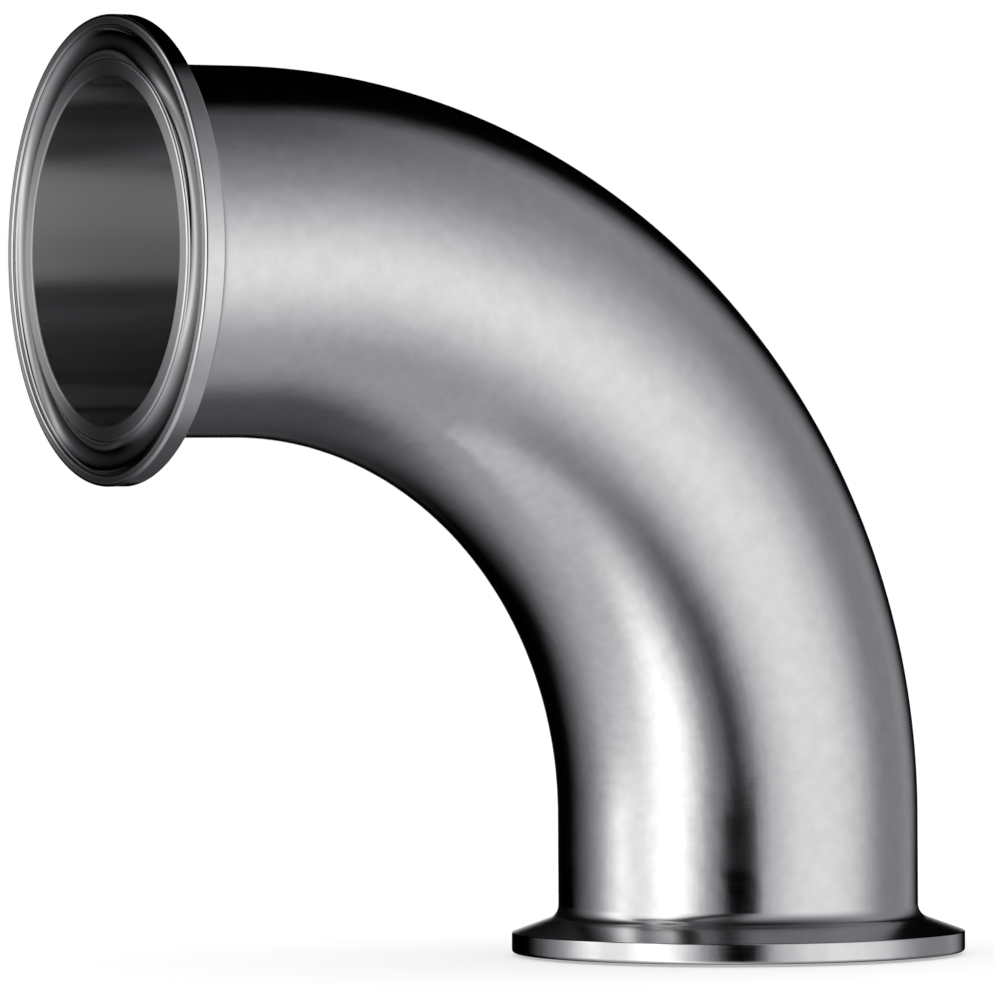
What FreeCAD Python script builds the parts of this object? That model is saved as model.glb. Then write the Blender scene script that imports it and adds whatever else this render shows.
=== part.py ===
import FreeCAD, Part
import math
import os

# Sanitary ninety degree elbow: a bent stainless steel tube that ends in a turned
# clamp ferrule at each port. The welds are ground flush inside and out, so the
# finished elbow is one continuous piece of metal.
#
# Sizes are in millimetres. The origin is the centre of the lower port's face. +Z runs
# up that port's axis into the elbow, and the tube bends towards -X in the XZ plane.

# Tube
tube_diameter = 50.8
tube_wall = 1.65
bend_radius = 78.5
bend_angle = 90.0
tangent_length = 6.8

# Clamp ferrule, the same at both ports
ferrule_length = 12.7
flange_diameter = 64.0
rim_thickness = 2.85
rim_chamfer = 0.5
clamp_angle = 20.0
neck_fillet_radius = 2.0

# Gasket groove, a round-bottomed ring in each ferrule's face
groove_diameter = 56.5
groove_section_radius = 2.35
groove_depth = 1.6

# Worked out from the sizes above
tube_radius = tube_diameter / 2
bore_radius = tube_radius - tube_wall
flange_radius = flange_diameter / 2
leg_length = ferrule_length + tangent_length

X_AXIS = FreeCAD.Vector(1, 0, 0)
Y_AXIS = FreeCAD.Vector(0, 1, 0)
Z_AXIS = FreeCAD.Vector(0, 0, 1)
ORIGIN = FreeCAD.Vector(0, 0, 0)


def section_point(radius, height):
    """Point of a turned section, in the half plane right of the Z axis."""
    return FreeCAD.Vector(radius, 0, height)


def point_on_circle(centre, radius, angle):
    """Point of a section's circle, at an angle in degrees from +X towards +Z."""
    across = radius * math.cos(math.radians(angle))
    up = radius * math.sin(math.radians(angle))
    return centre + section_point(across, up)


def line(start, end):
    """Straight edge of a section."""
    return Part.LineSegment(start, end).toShape()


def arc(centre, radius, first_angle, last_angle):
    """Round edge of a section, from one angle on its circle to another."""
    angles = (first_angle, (first_angle + last_angle) / 2, last_angle)
    return Part.Arc(*[point_on_circle(centre, radius, angle) for angle in angles]).toShape()


def clamp_end():
    """Clamp ferrule and the straight tube behind it, with the port's face on Z = 0."""
    # The groove is an arc of a circle whose centre lies just outside the face
    groove_centre = section_point(groove_diameter / 2, groove_depth - groove_section_radius)
    lip_angle = math.degrees(math.asin(-groove_centre.z / groove_section_radius))
    inner_lip = point_on_circle(groove_centre, groove_section_radius, 180 - lip_angle)
    outer_lip = point_on_circle(groove_centre, groove_section_radius, lip_angle)

    # The flange's back slopes up to the neck, and a fillet joins the slope to the tube
    slope = math.tan(math.radians(clamp_angle))
    slope_top = rim_thickness + (flange_radius - tube_radius) * slope
    setback = neck_fillet_radius * math.tan(math.radians(45 - clamp_angle / 2))
    fillet_centre = section_point(tube_radius + neck_fillet_radius, slope_top + setback)
    fillet_foot = point_on_circle(fillet_centre, neck_fillet_radius, 270 - clamp_angle)
    fillet_head = point_on_circle(fillet_centre, neck_fillet_radius, 180)

    mouth = section_point(bore_radius, 0)
    chamfer_start = section_point(flange_radius - rim_chamfer, 0)
    chamfer_end = section_point(flange_radius, rim_chamfer)
    rim_back = section_point(flange_radius, rim_thickness)
    outer_top = section_point(tube_radius, leg_length)
    inner_top = section_point(bore_radius, leg_length)

    section = Part.Wire([
        line(mouth, inner_lip),
        arc(groove_centre, groove_section_radius, 180 - lip_angle, lip_angle),
        line(outer_lip, chamfer_start),
        line(chamfer_start, chamfer_end),
        line(chamfer_end, rim_back),
        line(rim_back, fillet_foot),
        arc(fillet_centre, neck_fillet_radius, 270 - clamp_angle, 180),
        line(fillet_head, outer_top),
        line(outer_top, inner_top),
        line(inner_top, mouth),
    ])
    return Part.Face(section).revolve(ORIGIN, Z_AXIS, 360)


def bend():
    """Bent stretch of the tube, its ring shaped section swung about the bend's axis."""
    outside = Part.Face(Part.Wire(Part.makeCircle(tube_radius, bend_start, Z_AXIS)))
    inside = Part.Face(Part.Wire(Part.makeCircle(bore_radius, bend_start, Z_AXIS)))
    return outside.cut(inside).revolve(bend_centre, -Y_AXIS, bend_angle)


# The bend's axis lies along Y. The upper port looks along the tube's direction where
# the bend ends, one straight leg beyond it.
bend_start = FreeCAD.Vector(0, 0, leg_length)
bend_centre = bend_start - X_AXIS * bend_radius
turn = FreeCAD.Rotation(-Y_AXIS, bend_angle)
bend_end = bend_centre + turn.multVec(X_AXIS * bend_radius)
upper_port = bend_end + turn.multVec(Z_AXIS) * leg_length

lower_end = clamp_end()
upper_end = clamp_end()
upper_end.Placement = FreeCAD.Placement(upper_port, FreeCAD.Rotation(Y_AXIS, 180 - bend_angle))
elbow = bend().fuse([lower_end, upper_end]).Solids[0]

os.makedirs("parts", exist_ok=True)
elbow.exportStep("parts/elbow.step")
print("valid", elbow.isValid(), "faces", len(elbow.Faces), "volume mm3", round(elbow.Volume, 1))
print("centre of mass", elbow.CenterOfMass, "upper port", upper_port)
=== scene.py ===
import math

import bmesh
import bpy
from mathutils import Matrix, Vector


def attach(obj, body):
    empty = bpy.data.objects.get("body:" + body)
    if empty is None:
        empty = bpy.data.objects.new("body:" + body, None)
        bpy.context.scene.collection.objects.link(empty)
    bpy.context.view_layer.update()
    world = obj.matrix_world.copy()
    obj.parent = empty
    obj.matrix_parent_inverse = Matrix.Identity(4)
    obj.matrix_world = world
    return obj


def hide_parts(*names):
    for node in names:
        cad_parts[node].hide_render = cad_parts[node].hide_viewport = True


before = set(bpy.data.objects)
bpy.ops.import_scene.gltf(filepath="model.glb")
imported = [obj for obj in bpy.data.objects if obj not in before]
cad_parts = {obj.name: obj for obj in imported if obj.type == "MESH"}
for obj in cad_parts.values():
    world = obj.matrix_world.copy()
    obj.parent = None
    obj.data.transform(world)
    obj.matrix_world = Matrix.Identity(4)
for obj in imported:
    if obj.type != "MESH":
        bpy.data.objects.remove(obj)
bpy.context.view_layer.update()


# The elbow. One continuous piece of stainless steel tube, bent on a mandrel, with a turned
# clamp ferrule butt welded to each end. The welds are ground flush and polished out. The tube
# is satin, the ferrules are turned, and the bore is brushed round its wall.
MM = 0.001
tube_radius = 25.4
tube_wall = 1.65
bend_radius = 78.5
tangent_length = 6.8
ferrule_length = 12.7
flange_radius = 32.0
rim_thickness = 2.85
clamp_angle = 20.0
neck_fillet = 2.0
groove_radius = 28.25
groove_round = 2.35
groove_depth = 1.6
lip_round = 0.4
mouth_round = 0.25
rim_face_round = 0.5
rim_back_round = 0.2
# A ring this close beside each rounding keeps the flat stretches flat under smooth shading
edge_margin = 0.04
corner_steps = 5
rim_steps = 7
fillet_steps = 10
groove_steps = 20
columns = 240
rings_per_bend = 72
# In the order of the materials, which are added below
finishes = ("skin", "land", "bore", "slope", "groove")
# Millimetres of skin in one unit of the wrap that runs along it
wrap_length = 100.0

bore_radius = tube_radius - tube_wall
straight_leg = ferrule_length + tangent_length
bend_length = bend_radius * math.pi / 2
centreline_length = 2 * straight_leg + bend_length
clamp_slope = math.tan(math.radians(clamp_angle))
groove_offset = groove_depth - groove_round


def arc_points(centre, radius, first, last, steps):
    """Points (along the port's axis, out from it) on an arc, angles in degrees from the axis."""
    points = []
    for step in range(steps + 1):
        angle = math.radians(first + (last - first) * step / steps)
        points.append((centre[0] + radius * math.cos(angle), centre[1] + radius * math.sin(angle)))
    return points


def rounded_corner(before, corner, after, radius, steps):
    """A corner of the section turned to a small radius, with a ring close by on either side."""
    corner, before, after = Vector(corner), Vector(before), Vector(after)
    back = (before - corner).normalized()
    on = (after - corner).normalized()
    half_angle = back.angle(on) / 2
    setback = radius / math.tan(half_angle)
    centre = corner + (back + on).normalized() * (radius / math.sin(half_angle))
    start = corner + back * setback
    end = corner + on * setback
    first = math.atan2(start.y - centre.y, start.x - centre.x)
    turn = math.atan2(end.y - centre.y, end.x - centre.x) - first
    turn = (turn + math.pi) % (2 * math.pi) - math.pi
    points = arc_points(centre, radius, math.degrees(first), math.degrees(first + turn), steps)
    return [tuple(start + back * edge_margin)] + points + [tuple(end + on * edge_margin)]


def ferrule_section():
    """The ferrule's section from the weld in the bore, round the flange, to the weld outside."""
    weld_inside = (ferrule_length, bore_radius)
    mouth = (0.0, bore_radius)
    rim_face = (0.0, flange_radius)
    rim_back = (rim_thickness, flange_radius)
    neck = (rim_thickness + (flange_radius - tube_radius) * clamp_slope, tube_radius)
    weld_outside = (ferrule_length, tube_radius)
    # Each lip of the gasket groove is a small round that meets the flat face and the groove's arc
    reach = math.sqrt((groove_round + lip_round) ** 2 - (lip_round - groove_offset) ** 2)
    lean = math.degrees(math.asin((lip_round - groove_offset) / (groove_round + lip_round)))
    inner_lip = (lip_round, groove_radius - reach)
    outer_lip = (lip_round, groove_radius + reach)
    inner_land = rounded_corner(weld_inside, mouth, rim_face, mouth_round, corner_steps)
    inner_land += [(0.0, inner_lip[1] - edge_margin)]
    first_lip = arc_points(inner_lip, lip_round, 180.0, 90.0 - lean, corner_steps)
    groove_middle = (groove_offset, groove_radius)
    groove = arc_points(groove_middle, groove_round, lean - 90.0, 90.0 - lean, groove_steps)
    last_lip = arc_points(outer_lip, lip_round, lean - 90.0, -180.0, corner_steps)
    rim = rounded_corner(mouth, rim_face, rim_back, rim_face_round, rim_steps)
    rim_corner = rounded_corner(rim_face, rim_back, neck, rim_back_round, corner_steps)
    fillet = rounded_corner(rim_back, neck, weld_outside, neck_fillet, fillet_steps)
    # The finish named with a point covers the strip from there to the next point
    section = [(*weld_inside, "bore")]
    section += [(*point, "land") for point in inner_land]
    section += [(*point, "skin") for point in first_lip[:-1]]
    section += [(*point, "groove") for point in groove[:-1]]
    section += [(*point, "skin") for point in last_lip]
    section += [(0.0, outer_lip[1] + edge_margin, "land")]
    section += [(*point, "skin") for point in rim + rim_corner[:-1]]
    section += [(*point, "slope") for point in rim_corner[-1:] + fillet[:-1]]
    section += [(*point, "skin") for point in (fillet[-1], weld_outside)]
    return section


def ring_stations():
    """Every ring of the skin, as (along the centreline, radius, finish), once round the wall."""
    lower = ferrule_section()
    strips = [finish for _, _, finish in reversed(lower[:-1])] + ["bore"]
    upper = [(centreline_length - along, out, finish)
             for (along, out, _), finish in zip(reversed(lower), strips)]
    bend = [straight_leg + bend_length * step / rings_per_bend for step in range(rings_per_bend + 1)]
    outside = [(along, tube_radius, "skin") for along in bend]
    inside = [(along, bore_radius, "bore") for along in reversed(bend)]
    return lower + outside + upper + inside


def centreline(along):
    """Point on the elbow's centreline and the direction out from the bend's axis there."""
    if along <= straight_leg:
        return Vector((0.0, 0.0, along)), Vector((1.0, 0.0, 0.0))
    swung = min((along - straight_leg) / bend_radius, math.pi / 2)
    out = Vector((math.cos(swung), 0.0, math.sin(swung)))
    point = Vector((-bend_radius, 0.0, straight_leg)) + out * bend_radius
    past = along - straight_leg - bend_length
    if past > 0:
        point.x -= past
    return point, out


def running_lengths(stations):
    """Length in mm along the skin from the first ring to each ring, and back to the first."""
    run = [0.0]
    for (along, out, _), (next_along, next_out, _) in zip(stations, stations[1:] + stations[:1]):
        run.append(run[-1] + math.hypot(next_along - along, next_out - out))
    return run


def build_elbow(stations, run):
    """The elbow's skin: rings swept along the centreline and closed on themselves."""
    skin = bmesh.new()
    wrap = skin.loops.layers.uv.new("around_and_along")
    rings = []
    for along, out, _ in stations:
        middle, outward = centreline(along)
        ring = []
        for column in range(columns):
            turn = 2 * math.pi * column / columns
            reach = outward * math.cos(turn) + Vector((0.0, 1.0, 0.0)) * math.sin(turn)
            ring.append(skin.verts.new((middle + reach * out) * MM))
        rings.append(ring)
    for number, ring in enumerate(rings):
        follower = rings[(number + 1) % len(rings)]
        finish = finishes.index(stations[number][2])
        for column in range(columns):
            beside = (column + 1) % columns
            face = skin.faces.new((ring[column], ring[beside], follower[beside], follower[column]))
            face.smooth = True
            face.material_index = finish
            corners = ((column, number), (column + 1, number),
                       (column + 1, number + 1), (column, number + 1))
            for loop, (across, down) in zip(face.loops, corners):
                loop[wrap].uv = (across / columns, run[down] / wrap_length)
    bmesh.ops.recalc_face_normals(skin, faces=skin.faces)
    mesh = bpy.data.meshes.new("elbow_skin")
    skin.to_mesh(mesh)
    skin.free()
    return bpy.data.objects.new("elbow_skin", mesh)


def group_input(group, name, value):
    """A named number that a node group takes in."""
    socket = group.interface.new_socket(name, in_out="INPUT", socket_type="NodeSocketFloat")
    socket.default_value = value


def maths(nodes, links, operation, *values):
    """A Math node fed by other sockets or by plain numbers. Returns its output."""
    node = nodes.new("ShaderNodeMath")
    node.operation = operation
    for number, value in enumerate(values):
        if isinstance(value, (int, float)):
            node.inputs[number].default_value = value
        else:
            links.new(value, node.inputs[number])
    return node.outputs[0]


def skin_wrap(nodes, links):
    """The skin's own coordinates. X runs once round the tube, and Y runs along the skin."""
    surface = nodes.new("ShaderNodeUVMap")
    surface.uv_map = "around_and_along"
    split = nodes.new("ShaderNodeSeparateXYZ")
    links.new(surface.outputs["UV"], split.inputs[0])
    return split.outputs


def skin_place(nodes, links, around, along):
    """A point that runs round and along the skin with no seam. Around and along scale it."""
    wrap = skin_wrap(nodes, links)
    turn = maths(nodes, links, "MULTIPLY", wrap["X"], 2 * math.pi)
    centimetres = maths(nodes, links, "MULTIPLY", wrap["Y"], wrap_length / 10)
    cosine = maths(nodes, links, "COSINE", turn)
    sine = maths(nodes, links, "SINE", turn)
    place = nodes.new("ShaderNodeCombineXYZ")
    links.new(maths(nodes, links, "MULTIPLY", cosine, around), place.inputs[0])
    links.new(maths(nodes, links, "MULTIPLY", sine, around), place.inputs[1])
    links.new(maths(nodes, links, "MULTIPLY", centimetres, along), place.inputs[2])
    return place.outputs[0]


def noise_at(nodes, links, place, detail):
    """Smooth noise about 0.5 at a point."""
    noise = nodes.new("ShaderNodeTexNoise")
    noise.inputs["Scale"].default_value = 1.0
    noise.inputs["Detail"].default_value = detail
    links.new(place, noise.inputs["Vector"])
    return noise.outputs["Fac"]


def blend(nodes, links, factor, first, second):
    """A colour between two others. Returns its output."""
    mix = nodes.new("ShaderNodeMix")
    mix.data_type = "RGBA"
    links.new(factor, mix.inputs["Factor"])
    sockets = [socket for socket in mix.inputs if socket.type == "RGBA"]
    sockets[0].default_value = (*first, 1.0)
    sockets[1].default_value = (*second, 1.0)
    return [socket for socket in mix.outputs if socket.type == "RGBA"][0]


def build_tool_marks():
    """Height in microns of the fine marks round the skin, and of polishing's waves and grain."""
    group = bpy.data.node_groups.new("tool_marks", "ShaderNodeTree")
    group_input(group, "Marks Per Centimetre", 20.0)
    group_input(group, "Mark Depth", 2.0)
    group_input(group, "Wave Depth", 10.0)
    group_input(group, "Grain Depth", 0.0)
    group.interface.new_socket("Height", in_out="OUTPUT", socket_type="NodeSocketFloat")
    nodes, links = group.nodes, group.links
    taken = nodes.new("NodeGroupInput")
    given = nodes.new("NodeGroupOutput")
    marks_place = skin_place(nodes, links, around=2.0, along=taken.outputs["Marks Per Centimetre"])
    waves_place = skin_place(nodes, links, around=6.0, along=2.4)
    grain_place = skin_place(nodes, links, around=30.0, along=2.0)
    marks = noise_at(nodes, links, marks_place, detail=3.0)
    waves = noise_at(nodes, links, waves_place, detail=1.0)
    grain = noise_at(nodes, links, grain_place, detail=2.0)
    marks = maths(nodes, links, "MULTIPLY", marks, taken.outputs["Mark Depth"])
    waves = maths(nodes, links, "MULTIPLY", waves, taken.outputs["Wave Depth"])
    grain = maths(nodes, links, "MULTIPLY", grain, taken.outputs["Grain Depth"])
    polished = maths(nodes, links, "ADD", maths(nodes, links, "ADD", marks, waves), grain)
    links.new(polished, given.inputs["Height"])
    return group


def build_uneven_shine():
    """The steel's colour, a little darker or lighter from place to place as polishing leaves it."""
    dull_patch = (0.575, 0.57, 0.58)
    bright_patch = (0.715, 0.71, 0.717)
    radius_in_centimetres = 2.5
    group = bpy.data.node_groups.new("uneven_shine", "ShaderNodeTree")
    group_input(group, "Patches Per Centimetre", 5.0)
    group.interface.new_socket("Color", in_out="OUTPUT", socket_type="NodeSocketColor")
    nodes, links = group.nodes, group.links
    taken = nodes.new("NodeGroupInput")
    given = nodes.new("NodeGroupOutput")
    patches = taken.outputs["Patches Per Centimetre"]
    patches_around = maths(nodes, links, "MULTIPLY", patches, radius_in_centimetres)
    patch_place = skin_place(nodes, links, around=patches_around, along=patches)
    patchy = noise_at(nodes, links, patch_place, detail=3.0)
    links.new(blend(nodes, links, patchy, dull_patch, bright_patch), given.inputs["Color"])
    return group


def build_hub_polish():
    """1 on the turned hubs and 0 on the tube, with an uneven change between them."""
    wander_width = 6.0
    group = bpy.data.node_groups.new("hub_polish", "ShaderNodeTree")
    group_input(group, "Lower Weld", 0.0)
    group_input(group, "Upper Weld", 0.0)
    group_input(group, "Change Width", 2.5)
    group.interface.new_socket("Polish", in_out="OUTPUT", socket_type="NodeSocketFloat")
    nodes, links = group.nodes, group.links
    taken = nodes.new("NodeGroupInput")
    given = nodes.new("NodeGroupOutput")
    wander = noise_at(nodes, links, skin_place(nodes, links, around=1.5, along=0.5), detail=2.0)
    wander = maths(nodes, links, "MULTIPLY_ADD", wander, wander_width, -wander_width / 2)
    run = maths(nodes, links, "MULTIPLY_ADD", skin_wrap(nodes, links)["Y"], wrap_length, wander)
    past_lower = maths(nodes, links, "SUBTRACT", run, taken.outputs["Lower Weld"])
    past_upper = maths(nodes, links, "SUBTRACT", taken.outputs["Upper Weld"], run)
    on_tube = maths(nodes, links, "MINIMUM", past_lower, past_upper)
    change = nodes.new("ShaderNodeMapRange")
    change.interpolation_type = "SMOOTHSTEP"
    links.new(on_tube, change.inputs["Value"])
    width = taken.outputs["Change Width"]
    links.new(maths(nodes, links, "MULTIPLY", width, -0.5), change.inputs["From Min"])
    links.new(maths(nodes, links, "MULTIPLY", width, 0.5), change.inputs["From Max"])
    change.inputs["To Min"].default_value = 1.0
    change.inputs["To Max"].default_value = 0.0
    links.new(change.outputs["Result"], given.inputs["Polish"])
    return group


def build_groove_tone():
    """Painted shade for the gasket grooves: the colour is dark along the bottom and lighter up the
    sides.
    """
    # Painted shade: the steel's colour darkened along the groove's bottom, plain steel up its sides
    shaded_bottom = (0.13, 0.129, 0.131)
    unshaded_side = (0.62, 0.615, 0.623)
    fade_starts = 0.4
    fade_ends = 1.6
    group = bpy.data.node_groups.new("groove_painted_shade", "ShaderNodeTree")
    group_input(group, "Lower Bottom", 0.0)
    group_input(group, "Upper Bottom", 0.0)
    group_input(group, "Dark Half Width", 1.8)
    group.interface.new_socket("Color", in_out="OUTPUT", socket_type="NodeSocketColor")
    nodes, links = group.nodes, group.links
    taken = nodes.new("NodeGroupInput")
    given = nodes.new("NodeGroupOutput")
    run = maths(nodes, links, "MULTIPLY", skin_wrap(nodes, links)["Y"], wrap_length)
    past_lower = maths(nodes, links, "SUBTRACT", run, taken.outputs["Lower Bottom"])
    past_upper = maths(nodes, links, "SUBTRACT", run, taken.outputs["Upper Bottom"])
    from_lower = maths(nodes, links, "ABSOLUTE", past_lower)
    from_upper = maths(nodes, links, "ABSOLUTE", past_upper)
    from_bottom = maths(nodes, links, "MINIMUM", from_lower, from_upper)
    shade_fade = nodes.new("ShaderNodeMapRange")
    shade_fade.interpolation_type = "SMOOTHSTEP"
    links.new(from_bottom, shade_fade.inputs["Value"])
    width = taken.outputs["Dark Half Width"]
    links.new(maths(nodes, links, "MULTIPLY", width, fade_starts), shade_fade.inputs["From Min"])
    links.new(maths(nodes, links, "MULTIPLY", width, fade_ends), shade_fade.inputs["From Max"])
    groove_shade = blend(nodes, links, shade_fade.outputs["Result"], shaded_bottom, unshaded_side)
    links.new(groove_shade, given.inputs["Color"])
    return group


tool_marks = build_tool_marks()
uneven_shine = build_uneven_shine()
hub_polish = build_hub_polish()
groove_painted_shade = build_groove_tone()
bare_steel = (0.64, 0.635, 0.643)
quarter_turn = 0.25
micron = 0.000001


def steel(name, roughness, stretch, marks, mark_depth, wave_depth=0.0, grain_depth=0.0,
          colour=bare_steel):
    """Bare stainless steel with tool marks. Stretch draws its highlights out across the marks."""
    material = bpy.data.materials.new(name)
    material.use_nodes = True
    nodes, links = material.node_tree.nodes, material.node_tree.links
    shader = nodes["Principled BSDF"]
    shader.inputs["Base Color"].default_value = (*colour, 1.0)
    shader.inputs["Metallic"].default_value = 1.0
    shader.inputs["Roughness"].default_value = roughness
    shader.inputs["Anisotropic"].default_value = stretch
    shader.inputs["Anisotropic Rotation"].default_value = quarter_turn
    tangent = nodes.new("ShaderNodeTangent")
    tangent.direction_type = "UV_MAP"
    tangent.uv_map = "around_and_along"
    links.new(tangent.outputs[0], shader.inputs["Tangent"])
    texture = nodes.new("ShaderNodeGroup")
    texture.node_tree = tool_marks
    texture.inputs["Marks Per Centimetre"].default_value = marks
    texture.inputs["Mark Depth"].default_value = mark_depth
    texture.inputs["Wave Depth"].default_value = wave_depth
    texture.inputs["Grain Depth"].default_value = grain_depth
    bump = nodes.new("ShaderNodeBump")
    bump.inputs["Strength"].default_value = 1.0
    bump.inputs["Distance"].default_value = micron
    links.new(texture.outputs["Height"], bump.inputs["Height"])
    links.new(bump.outputs["Normal"], shader.inputs["Normal"])
    return material


stations = ring_stations()
run = running_lengths(stations)
elbow = build_elbow(stations, run)
bpy.context.collection.objects.link(elbow)

# The outside is satin on the tube and brighter on the hubs. The upper hub stays satin for all
# but the last stretch before its flange.
tube_roughness = 0.135
hub_roughness = 0.09
upper_satin_reach = 8.0
skin_steel = steel("polished_skin_steel", roughness=tube_roughness, stretch=0.0, marks=20.0,
                   mark_depth=3.0, wave_depth=30.0, grain_depth=6.0)
nodes, links = skin_steel.node_tree.nodes, skin_steel.node_tree.links
polish = nodes.new("ShaderNodeGroup")
polish.node_tree = hub_polish
weld_places = (ferrule_length, centreline_length - ferrule_length)
weld_rings = [number for number, (along, out, _) in enumerate(stations)
              if out == tube_radius and along in weld_places]
polish.inputs["Lower Weld"].default_value = run[weld_rings[0]]
polish.inputs["Upper Weld"].default_value = run[weld_rings[-1]] + upper_satin_reach
links.new(maths(nodes, links, "MULTIPLY_ADD", polish.outputs["Polish"],
                hub_roughness - tube_roughness, tube_roughness),
          nodes["Principled BSDF"].inputs["Roughness"])
shine = nodes.new("ShaderNodeGroup")
shine.node_tree = uneven_shine
links.new(shine.outputs["Color"], nodes["Principled BSDF"].inputs["Base Color"])
elbow.data.materials.append(skin_steel)

# The flat lands of the ports' faces are turned in fine circles
elbow.data.materials.append(steel("turned_land_steel", roughness=0.36, stretch=1.0, marks=40.0,
                                  mark_depth=1.0, colour=(0.55, 0.545, 0.553)))

# The bore is brushed round its wall, more matt in some lengthwise bands than in others. Each
# zone is where the photograph shows a band, as a fraction of a turn from the bend's outer side
# by way of +Y, and the roughness tuned for it.
outer_side_roughness = 0.16
bore_zones = ((0.05, 0.12), (0.1, 0.2), (0.155, 0.17), (0.175, 0.4), (0.21, 0.48), (0.245, 0.62),
              (0.265, 0.43), (0.285, 0.1), (0.33, 0.2), (0.4, 0.1), (0.6, 0.12))
bore_steel = steel("brushed_bore_steel", roughness=outer_side_roughness, stretch=1.0,
                   marks=20.0, mark_depth=2.0, wave_depth=15.0)
nodes, links = bore_steel.node_tree.nodes, bore_steel.node_tree.links
zones = nodes.new("ShaderNodeValToRGB")
zones.color_ramp.interpolation = "B_SPLINE"
for stop in zones.color_ramp.elements:
    stop.color = (outer_side_roughness, outer_side_roughness, outer_side_roughness, 1.0)
for place, roughness in bore_zones:
    stop = zones.color_ramp.elements.new(place)
    stop.color = (roughness, roughness, roughness, 1.0)
links.new(skin_wrap(nodes, links)["X"], zones.inputs["Fac"])
links.new(zones.outputs["Color"], nodes["Principled BSDF"].inputs["Roughness"])
elbow.data.materials.append(bore_steel)

# The slope that the clamp closes on, and the gasket groove, are smoother than the lands
elbow.data.materials.append(steel("turned_slope_steel", roughness=0.2, stretch=0.3, marks=40.0,
                                  mark_depth=1.0))
groove_steel = steel("turned_groove_steel", roughness=0.12, stretch=0.0, marks=40.0, mark_depth=1.0)
nodes, links = groove_steel.node_tree.nodes, groove_steel.node_tree.links
# The groove's base colour carries painted shade, dark along the bottom of each groove
groove_shade = nodes.new("ShaderNodeGroup")
groove_shade.node_tree = groove_painted_shade
groove_rings = [number for number, station in enumerate(stations) if station[2] == "groove"]
half = len(groove_rings) // 2
for bottom, rings in (("Lower Bottom", groove_rings[:half]), ("Upper Bottom", groove_rings[half:])):
    groove_shade.inputs[bottom].default_value = (run[rings[0]] + run[rings[-1] + 1]) / 2
links.new(groove_shade.outputs["Color"], nodes["Principled BSDF"].inputs["Base Color"])
elbow.data.materials.append(groove_steel)
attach(elbow, "root")
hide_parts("elbow")


# The floor. A plain pale sheet that the lower port stands on. It shows the elbow's shadow,
# and the metal above it reflects the pale studio and not the sheet itself.
# In metres. The sheet lies just under the port, so that the two faces don't coincide.
floor_half = 6.0
floor_level = -0.0004
floor_shade = 0.7
# How much the camera alone sees the sheet glow, to bring it near the white behind it
paper_glow = 0.4
floor_mesh = bpy.data.meshes.new("floor")
floor_mesh.from_pydata(
    [(-floor_half, -floor_half, floor_level), (floor_half, -floor_half, floor_level),
     (floor_half, floor_half, floor_level), (-floor_half, floor_half, floor_level)],
    [], [(0, 1, 2, 3)])
floor = bpy.data.objects.new("floor", floor_mesh)
bpy.context.collection.objects.link(floor)
floor.visible_glossy = False
floor_paint = bpy.data.materials.new("pale_floor")
floor_paint.use_nodes = True
nodes, links = floor_paint.node_tree.nodes, floor_paint.node_tree.links
nodes.clear()
painted = nodes.new("ShaderNodeBsdfDiffuse")
painted.inputs["Color"].default_value = (floor_shade, floor_shade, floor_shade, 1.0)
lit_paper = nodes.new("ShaderNodeEmission")
lit_paper.inputs["Color"].default_value = (1.0, 1.0, 1.0, 1.0)
seen = nodes.new("ShaderNodeLightPath")
glow = maths(nodes, links, "MULTIPLY", seen.outputs["Is Camera Ray"], paper_glow)
links.new(glow, lit_paper.inputs["Strength"])
together = nodes.new("ShaderNodeAddShader")
links.new(painted.outputs[0], together.inputs[0])
links.new(lit_paper.outputs[0], together.inputs[1])
surface_out = nodes.new("ShaderNodeOutputMaterial")
links.new(together.outputs[0], surface_out.inputs["Surface"])
floor_mesh.materials.append(floor_paint)


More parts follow.
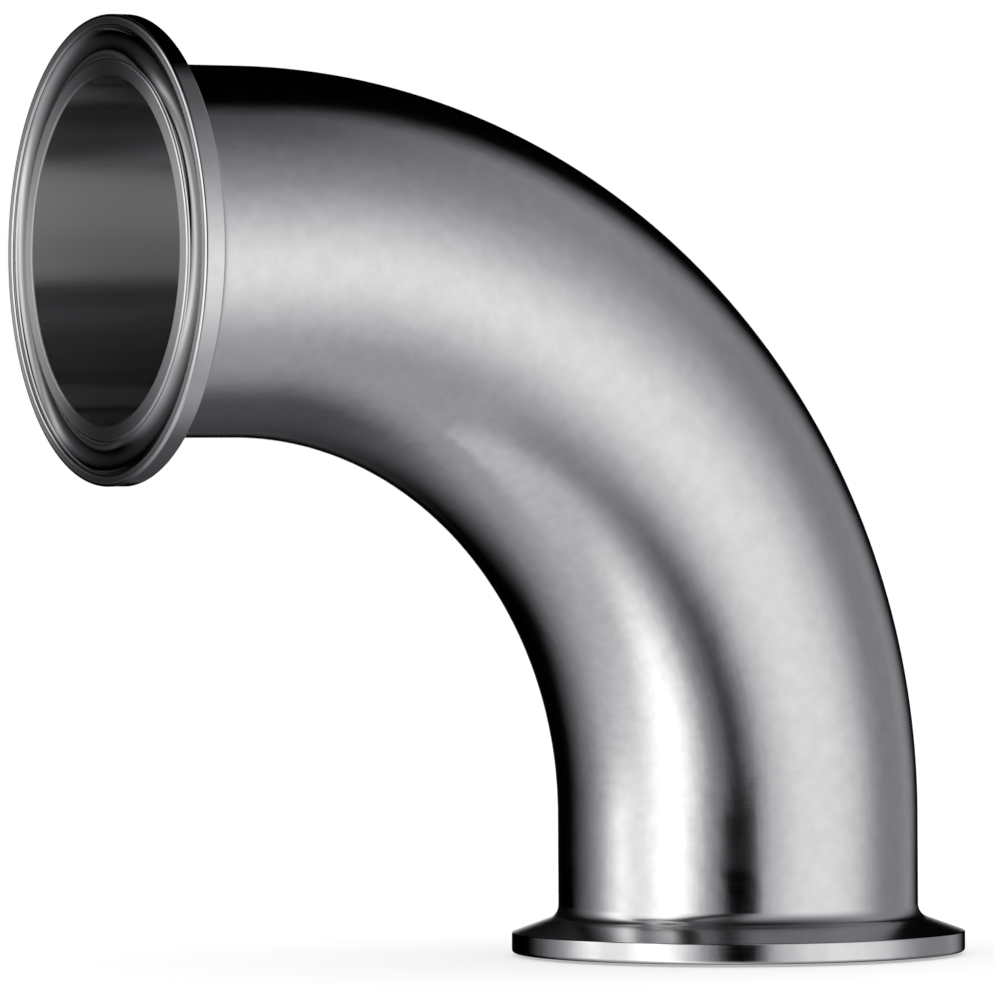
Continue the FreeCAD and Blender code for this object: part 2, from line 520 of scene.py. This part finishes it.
# The studio. Lights, dim walls and black cards stand round the elbow in a pale room, each at
# its own bearing, which runs clockwise from +Y seen from above. Bearings, heights and widths
# are in degrees. Only the metal sees the panels, and the camera sees plain white.
def build_studio_panel():
    """One soft edged panel of light, or a dark one, laid over what stands behind it."""
    group = bpy.data.node_groups.new("studio_panel", "ShaderNodeTree")
    for name in ("Bearing", "Height", "Behind", "Centre", "Half Width", "Side Softness",
                 "Low Edge", "High Edge", "Edge Softness", "Level", "Lean"):
        group_input(group, name, 0.0)
    group.interface.new_socket("Light", in_out="OUTPUT", socket_type="NodeSocketFloat")
    nodes, links = group.nodes, group.links
    taken = nodes.new("NodeGroupInput").outputs
    given = nodes.new("NodeGroupOutput")

    def soft_step(value, edge, softness):
        """0 before an edge and 1 past it, with a smooth change over the softness."""
        half = maths(nodes, links, "MULTIPLY", softness, 0.5)
        step = nodes.new("ShaderNodeMapRange")
        step.interpolation_type = "SMOOTHSTEP"
        links.new(value, step.inputs["Value"])
        links.new(maths(nodes, links, "SUBTRACT", edge, half), step.inputs["From Min"])
        links.new(maths(nodes, links, "ADD", edge, half), step.inputs["From Max"])
        return step.outputs["Result"]

    upright = maths(nodes, links, "MULTIPLY_ADD", taken["Height"], taken["Lean"], taken["Centre"])
    off_centre = maths(nodes, links, "SUBTRACT", taken["Bearing"], upright)
    off_centre = maths(nodes, links, "WRAP", off_centre, 180.0, -180.0)
    off_centre = maths(nodes, links, "ABSOLUTE", off_centre)
    beside = soft_step(off_centre, taken["Half Width"], taken["Side Softness"])
    within = maths(nodes, links, "SUBTRACT", 1.0, beside)
    above_low = soft_step(taken["Height"], taken["Low Edge"], taken["Edge Softness"])
    above_high = soft_step(taken["Height"], taken["High Edge"], taken["Edge Softness"])
    between = maths(nodes, links, "SUBTRACT", above_low, above_high)
    mask = maths(nodes, links, "MULTIPLY", within, between)
    change = maths(nodes, links, "SUBTRACT", taken["Level"], taken["Behind"])
    links.new(maths(nodes, links, "MULTIPLY_ADD", change, mask, taken["Behind"]), given.inputs["Light"])
    return group


studio_panel = build_studio_panel()
studio = bpy.data.worlds.new("studio")
bpy.context.scene.world = studio
studio.use_nodes = True
nodes, links = studio.node_tree.nodes, studio.node_tree.links
nodes.clear()
looking = nodes.new("ShaderNodeTexCoord")
split = nodes.new("ShaderNodeSeparateXYZ")
links.new(looking.outputs["Generated"], split.inputs[0])
bearing = maths(nodes, links, "ARCTAN2", split.outputs["X"], split.outputs["Y"])
bearing = maths(nodes, links, "DEGREES", bearing)
height = maths(nodes, links, "DEGREES", maths(nodes, links, "ARCSINE", split.outputs["Z"]))
# How bright each kind of thing looks in the metal, where plain white is what the camera sees
unlit = 0.0
dark_floor = 0.1
dim_wall = 0.3
pale_wall = 0.45
pale_sheet = 0.7
plain_white = 1.0
soft_box = 1.1
strip_light = 1.9
# Degrees over which an edge fades
crisp = 4.0
firm = 10.0
soft = 30.0
broad = 50.0
faint = 80.0
# The bearing that the camera looks along
straight_behind = 27.7
# The pale room fades to an unlit ceiling between these heights
ceiling_starts = 20.0
overhead = 85.0
room = nodes.new("ShaderNodeMapRange")
room.interpolation_type = "SMOOTHSTEP"
links.new(height, room.inputs["Value"])
for name, value in (("From Min", ceiling_starts), ("From Max", overhead),
                    ("To Min", pale_wall), ("To Max", unlit)):
    room.inputs[name].default_value = value
light = room.outputs["Result"]


def stand_panel(behind, name, centre, half_width, sides, low, high, edges, level, lean=0.0):
    """Stand one panel in the studio, in front of what is there. Returns the light with it in place.

    The centre's bearing, half the width and the sides' softness come first, then the heights of
    the low and high edges and their softness, and the level. A lean is degrees of bearing that
    the panel moves on for each degree of height.
    """
    panel = nodes.new("ShaderNodeGroup")
    panel.node_tree = studio_panel
    panel.name = name
    links.new(bearing, panel.inputs["Bearing"])
    links.new(height, panel.inputs["Height"])
    links.new(behind, panel.inputs["Behind"])
    for socket, value in (("Centre", centre), ("Half Width", half_width), ("Side Softness", sides),
                          ("Low Edge", low), ("High Edge", high), ("Edge Softness", edges),
                          ("Level", level), ("Lean", lean)):
        panel.inputs[socket].default_value = value
    return panel.outputs["Light"]


# The strip lights, the stand and the black cards keep rounded values from a fit to the
# photograph's reflections, and so does part of the left soft box and of the room. The rest
# was placed one by one. First, a soft box each side of the camera and a pale sheet on the floor.
light = stand_panel(light, "soft_box_right", 155.0, 30.0, broad, -35.0, 15.0, broad, soft_box)
light = stand_panel(light, "soft_box_left", -90.0, 28.0, broad, -35.0, 30.0, faint, soft_box, 0.25)
light = stand_panel(light, "pale_sheet_on_floor", -120.0, 50.0, broad, -110.0, -50.0, broad, pale_sheet)
# Two strip lights on the left draw the bright lines down the upright leg
light = stand_panel(light, "strip_left", -107.0, 12.0, soft, -40.0, 40.0, broad, strip_light, 0.25)
light = stand_panel(light, "strip_far_left", -70.0, 7.0, soft, -5.0, 50.0, soft, strip_light, 0.3)
# The camera on its stand, and the unlit room behind it, show as the dark line
light = stand_panel(light, "unlit_room", -150.0, 10.0, soft, -45.0, 110.0, faint, unlit, 0.15)
light = stand_panel(light, "foot_of_stand", -165.0, 10.0, soft, -65.0, -45.0, soft, dim_wall)
light = stand_panel(light, "camera_and_stand", -150.0, 10.0, firm, -5.0, 100.0, crisp, unlit, 0.9)
# The wall to the right and the floor behind the elbow are dim
light = stand_panel(light, "dim_wall_right", 90.0, 20.0, soft, -40.0, 35.0, soft, dim_wall)
light = stand_panel(light, "dark_floor_behind", 45.0, 45.0, faint, -75.0, -15.0, soft, dark_floor)
# Black cards behind the elbow give the metal its dark outline against a small white backdrop
light = stand_panel(light, "black_card_left", -5.0, 35.0, broad, -50.0, 85.0, broad, unlit)
light = stand_panel(light, "black_card_right", 33.0, 28.0, soft, -20.0, 90.0, firm, unlit, 0.3)
light = stand_panel(light, "white_backdrop", straight_behind, 6.0, crisp, -5.0, 5.0, crisp, plain_white)

# The camera and matt surfaces see plain white all round
seen = nodes.new("ShaderNodeLightPath")
plain = maths(nodes, links, "MAXIMUM", seen.outputs["Is Camera Ray"], seen.outputs["Is Diffuse Ray"])
straight = nodes.new("ShaderNodeMix")
straight.data_type = "FLOAT"
links.new(plain, straight.inputs[0])
links.new(light, straight.inputs[2])
straight.inputs[3].default_value = plain_white
# What is dim in the room is slightly purple, and the lights are neutral
dim_tint = (0.98, 0.97, 1.05)
light_tint = (1.0, 1.0, 1.0)
sky = nodes.new("ShaderNodeBackground")
links.new(blend(nodes, links, straight.outputs[0], dim_tint, light_tint), sky.inputs["Color"])
links.new(straight.outputs[0], sky.inputs["Strength"])
sky_out = nodes.new("ShaderNodeOutputWorld")
links.new(sky.outputs[0], sky_out.inputs["Surface"])


# The camera. It looks almost level at the middle of the elbow from its front left, through a
# long lens. Its distance, aim and focal length are in millimetres.
camera_turn = math.radians(straight_behind)
camera_tilt = math.radians(-0.1)
camera_roll = math.radians(-0.3)
camera_distance = 1086.0
aim = Vector((-38.1, 0.0, 63.9))
focal_length = 281.4
sensor_height = 36.0
forward = Vector((math.sin(camera_turn) * math.cos(camera_tilt),
                  math.cos(camera_turn) * math.cos(camera_tilt), math.sin(camera_tilt)))
level_right = Vector((math.cos(camera_turn), -math.sin(camera_turn), 0.0))
level_up = level_right.cross(forward)
right = level_right * math.cos(camera_roll) + level_up * math.sin(camera_roll)
up = right.cross(forward)
lens = bpy.data.cameras.new("camera")
lens.sensor_fit = "VERTICAL"
lens.sensor_height = sensor_height
lens.lens = focal_length
lens.clip_start = 0.01
lens.clip_end = 50.0
camera = bpy.data.objects.new("camera", lens)
camera.matrix_world = Matrix.Translation((aim - forward * camera_distance) * MM) @ Matrix(
    (right, up, -forward)).transposed().to_4x4()
bpy.context.collection.objects.link(camera)
bpy.context.scene.camera = camera
bpy.context.scene.view_settings.view_transform = "Standard"
bpy.context.scene.cycles.glossy_bounces = 12
